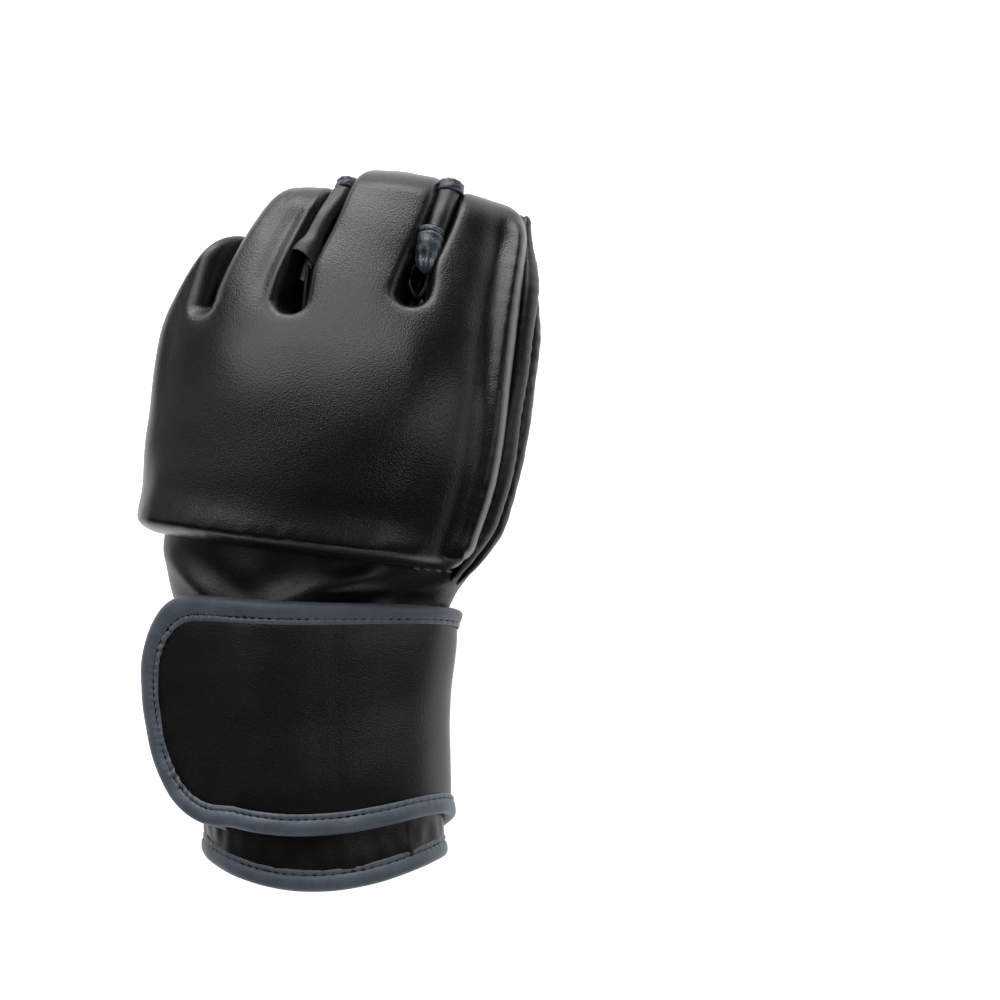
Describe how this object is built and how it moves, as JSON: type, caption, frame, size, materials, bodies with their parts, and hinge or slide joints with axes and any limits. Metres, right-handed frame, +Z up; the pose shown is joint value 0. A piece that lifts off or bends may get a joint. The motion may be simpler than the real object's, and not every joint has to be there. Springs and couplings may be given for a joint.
{
  "type": "kickboxing glove",
  "caption": "Open-finger padded kickboxing glove for the left hand, with bound palm and thumb openings, finger tubes and a wrapped wrist strap.",
  "frame": {"origin": "on the surface that the glove lies on, under the middle of its breadth and length", "axes": "+Z up through the back of the hand, +Y from the cuff to the fingers, +X to the thumb side"},
  "size_m": [0.131, 0.2358, 0.071],
  "materials": {
    "black_leather": "semi-gloss grained black leatherette",
    "gray_binding": "satin slate-gray leatherette edge binding",
    "knit_lining": "matte black ribbed knit"
  },
  "bodies": {
    "root": {"back_pad": "black_leather", "back_panel": "black_leather", "back_lining": "knit_lining", "palm_panel": "black_leather", "palm_opening_binding": "gray_binding", "thumb_opening_binding": "gray_binding", "finger_slot_binding": "gray_binding", "index_finger_tube": "black_leather", "middle_finger_tube": "black_leather", "ring_finger_tube": "black_leather", "pinky_finger_tube": "black_leather", "thumb_gusset_roll": "black_leather", "thumb_edge_welt": "black_leather", "pinky_gusset_roll": "black_leather", "ring_middle_gusset": "black_leather", "middle_index_gusset": "black_leather", "middle_index_knob": "gray_binding", "pinky_ring_gusset": "black_leather", "wrist_cuff": "black_leather", "cuff_binding": "gray_binding", "wrist_strap": "black_leather", "strap_binding": "gray_binding"}
  },
  "joints": []
}
